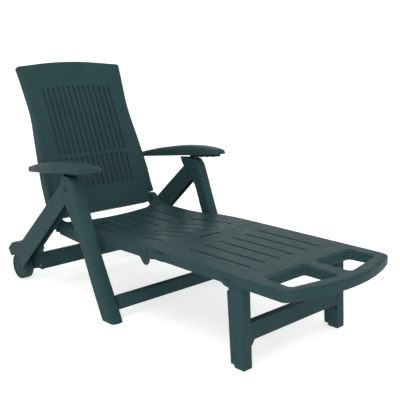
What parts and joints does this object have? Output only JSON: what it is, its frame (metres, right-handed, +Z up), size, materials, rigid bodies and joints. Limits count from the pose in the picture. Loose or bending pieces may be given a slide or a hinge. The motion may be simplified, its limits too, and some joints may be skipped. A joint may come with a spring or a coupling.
{
  "type": "reclining sun lounger",
  "caption": "Moulded resin sun lounger with a reclining slotted back, armrests, a folding legrest, folding A-frame legs and transport wheels.",
  "frame": {"origin": "on the ground, under the middle of the whole lounger's box", "axes": "+Z up, +Y along the lounger from the foot end towards the back, +X across, towards the left hand of the person lying on it"},
  "size_m": [0.758, 1.6868, 0.9876],
  "materials": {
    "resin": "satin moulded resin, dark teal green",
    "resin_pins": "satin moulded resin pins and caps, dark teal green",
    "steel_screws": "zinc plated steel"
  },
  "bodies": {
    "seat": {"seat_panel": "resin", "seat_pivot_pin_left": "resin_pins", "seat_pivot_pin_right": "resin_pins", "backrest_hinge_pin_left": "resin_pins", "backrest_hinge_pin_right": "resin_pins", "legrest_hinge_pin_left": "resin_pins", "legrest_hinge_pin_right": "resin_pins"},
    "front_frame": {"front_crossbar": "resin", "front_leg_left": "resin", "front_leg_right": "resin", "apex_pin_left": "resin_pins", "apex_pin_right": "resin_pins", "armrest_lock_peg_left": "resin_pins", "armrest_lock_peg_right": "resin_pins", "front_crossbar_screws": "steel_screws"},
    "rear_frame": {"rear_crossbar": "resin", "rear_leg_left": "resin", "rear_leg_right": "resin", "seat_rest_peg_left": "resin_pins", "seat_rest_peg_right": "resin_pins", "wheel_axle_left": "resin_pins", "wheel_axle_right": "resin_pins", "rear_crossbar_screws": "steel_screws"},
    "wheel_left": {"wheel_left": "resin", "wheel_cap_left": "resin_pins"},
    "wheel_right": {"wheel_right": "resin", "wheel_cap_right": "resin_pins"},
    "backrest": {"backrest_panel": "resin", "armrest_pivot_pin_left": "resin_pins", "armrest_pivot_pin_right": "resin_pins"},
    "armrest_left": {"armrest_left": "resin"},
    "armrest_right": {"armrest_right": "resin"},
    "legrest": {"legrest_panel": "resin", "stand_pivot_pin_left": "resin_pins", "stand_pivot_pin_right": "resin_pins"},
    "legrest_stand": {"legrest_stand": "resin"}
  },
  "joints": [
    {"name": "backrest_recline", "type": "hinge", "parent": "seat", "child": "backrest", "pos_m": [0, 0.548, 0.328], "axis": [1, 0, 0], "range_deg": [-66, 0]},
    {"name": "armrest_swing_left", "type": "hinge", "parent": "backrest", "child": "armrest_left", "pos_m": [0.31, 0.618, 0.53], "axis": [1, 0, 0], "range_deg": [0, 47]},
    {"name": "armrest_swing_right", "type": "hinge", "parent": "backrest", "child": "armrest_right", "pos_m": [-0.31, 0.618, 0.53], "axis": [1, 0, 0], "range_deg": [0, 47]},
    {"name": "leg_frame_fold", "type": "hinge", "parent": "seat", "child": "front_frame", "pos_m": [0, 0.178, 0.266], "axis": [1, 0, 0], "range_deg": [-42, 0]},
    {"name": "rear_leg_fold", "type": "hinge", "parent": "front_frame", "child": "rear_frame", "pos_m": [0, 0.313, 0.49], "axis": [1, 0, 0], "range_deg": [-51, 0]},
    {"name": "wheel_spin_left", "type": "hinge", "parent": "rear_frame", "child": "wheel_left", "pos_m": [0.327, 0.757, 0.06], "axis": [1, 0, 0], "continuous": true},
    {"name": "wheel_spin_right", "type": "hinge", "parent": "rear_frame", "child": "wheel_right", "pos_m": [-0.327, 0.757, 0.06], "axis": [1, 0, 0], "continuous": true},
    {"name": "legrest_fold", "type": "hinge", "parent": "seat", "child": "legrest", "pos_m": [0, -0.11, 0.3], "axis": [1, 0, 0], "range_deg": [0, 90]},
    {"name": "legrest_stand_fold", "type": "hinge", "parent": "legrest", "child": "legrest_stand", "pos_m": [0, -0.532, 0.299], "axis": [1, 0, 0], "range_deg": [0, 90]}
  ],
  "couplings": [
    {"joint": "armrest_swing_left", "follows": "backrest_recline", "ratio": -0.705},
    {"joint": "armrest_swing_right", "follows": "backrest_recline", "ratio": -0.705},
    {"joint": "rear_leg_fold", "follows": "leg_frame_fold", "ratio": 1.2}
  ]
}
